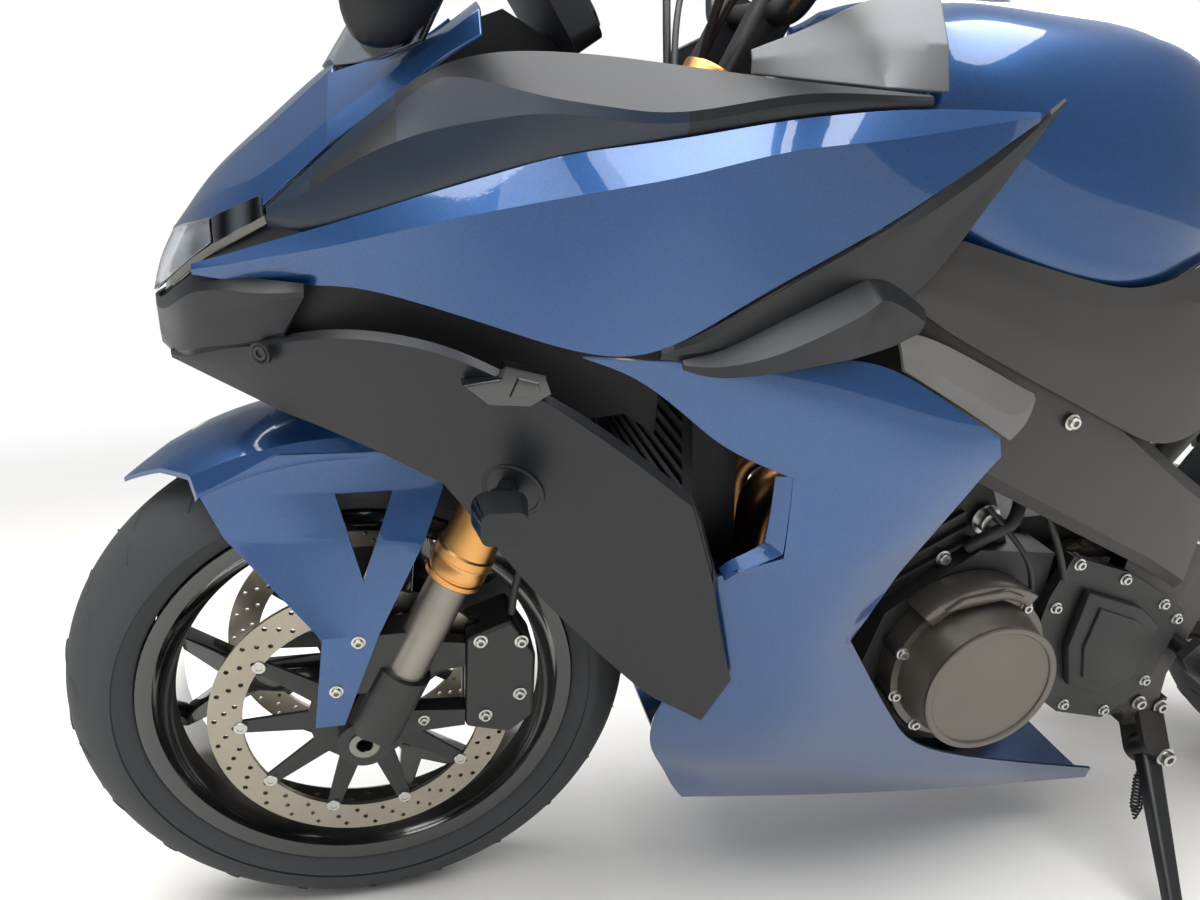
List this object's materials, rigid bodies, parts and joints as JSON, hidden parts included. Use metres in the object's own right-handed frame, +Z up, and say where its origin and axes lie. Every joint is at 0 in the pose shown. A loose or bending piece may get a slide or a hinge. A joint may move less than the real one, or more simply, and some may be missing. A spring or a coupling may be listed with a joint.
{
  "type": "sport touring motorcycle",
  "caption": "Faired sport touring motorcycle parked on its side stand, with gold fork, cast wheels, twin-spar frame, dual seat and turning steering.",
  "frame": {"origin": "middle of the bounding box on the ground plane, the machine leaning on its stand", "axes": "+X from the front wheel to the rear wheel, +Y to the rider's right, +Z up; the machine leans 13 degrees to its left (-Y)"},
  "size_m": [2.138, 0.8676, 1.209],
  "materials": {
    "tyre": "matt black",
    "cast_black": "gloss black wheel paint",
    "disc_steel": "ground steel",
    "chain_steel": "oiled steel",
    "gold": "gold anodised",
    "fork_black": "satin black",
    "axle_steel": "turned steel",
    "bar_black": "satin black",
    "caliper_grey": "dark grey",
    "blue_plastic": "metallic blue lacquer",
    "frame_black": "black",
    "engine_black": "matt black",
    "cover_bronze": "grey-bronze",
    "core_grey": "dark finned",
    "exhaust_steel": "heat-tinted steel",
    "satin_black": "satin black",
    "bronze": "grey-bronze",
    "lamp_glass": "clear",
    "smoke_glass": "light smoke",
    "amber_glass": "amber",
    "blue": "metallic blue lacquer",
    "gold_cap": "satin",
    "grey_plastic": "dark grey",
    "seat_vinyl": "grained black",
    "red_glass": "red",
    "spring_steel": "black"
  },
  "bodies": {
    "chassis": {"chain": "chain_steel", "frame": "frame_black", "engine_block": "engine_black", "engine_covers": "cover_bronze", "radiator": "core_grey", "exhaust": "exhaust_steel", "upper_cowl": "blue_plastic", "cockpit_cover": "satin_black", "side_cowl": "blue_plastic", "side_garnish": "satin_black", "garnish_trim": "bronze", "radiator_panel": "satin_black", "lower_cowl": "blue_plastic", "nose_panel": "blue_plastic", "headlight": "lamp_glass", "windscreen": "smoke_glass", "instrument_panel": "satin_black", "mirrors": "satin_black", "indicators": "amber_glass", "fuel_tank": "blue", "tank_covers": "grey_plastic", "rider_seat": "seat_vinyl", "pillion_seat": "seat_vinyl", "tail_cowl": "blue_plastic", "grab_rails": "fork_black", "tail_light": "red_glass", "rear_fender": "satin_black", "footpegs": "axle_steel", "swingarm": "fork_black", "shock": "spring_steel", "rear_caliper": "caliper_grey", "hugger": "satin_black"},
    "steering": {"fork_tubes": "gold", "fork_legs": "fork_black", "front_axle": "axle_steel", "triple_clamps": "fork_black", "handlebar": "bar_black", "front_calipers": "caliper_grey", "front_fender": "blue_plastic"},
    "front_wheel": {"front_tyre": "tyre", "front_rim": "cast_black", "front_discs": "disc_steel"},
    "rear_wheel": {"rear_tyre": "tyre", "rear_rim": "cast_black", "rear_disc": "disc_steel", "rear_sprocket": "chain_steel"},
    "side_stand": {"side_stand": "frame_black"},
    "filler": {"fuel_cap": "gold_cap"}
  },
  "joints": [
    {"name": "steering", "type": "hinge", "parent": "chassis", "child": "steering", "pos_m": [-0.73637, 0.15797, 0.27908], "axis": [0.4226, -0.2039, 0.8831], "range_deg": [-31, 31]},
    {"name": "front_wheel_spin", "type": "hinge", "parent": "steering", "child": "front_wheel", "pos_m": [-0.769, 0.15455, 0.2939], "axis": [0, 0.9744, 0.225], "continuous": true},
    {"name": "rear_wheel_spin", "type": "hinge", "parent": "chassis", "child": "rear_wheel", "pos_m": [0.691, 0.15177, 0.30593], "axis": [0, 0.9744, 0.225], "continuous": true},
    {"name": "side_stand_fold", "type": "hinge", "parent": "chassis", "child": "side_stand", "pos_m": [0.177, 0.01222, 0.16354], "axis": [-0.0426, -0.8006, 0.5977], "range_deg": [0, 88]},
    {"name": "filler_lid", "type": "hinge", "parent": "chassis", "child": "filler", "pos_m": [-0.225, -0.00974, 1.00548], "axis": [0, -0.9744, -0.225], "range_deg": [0, 90]}
  ]
}
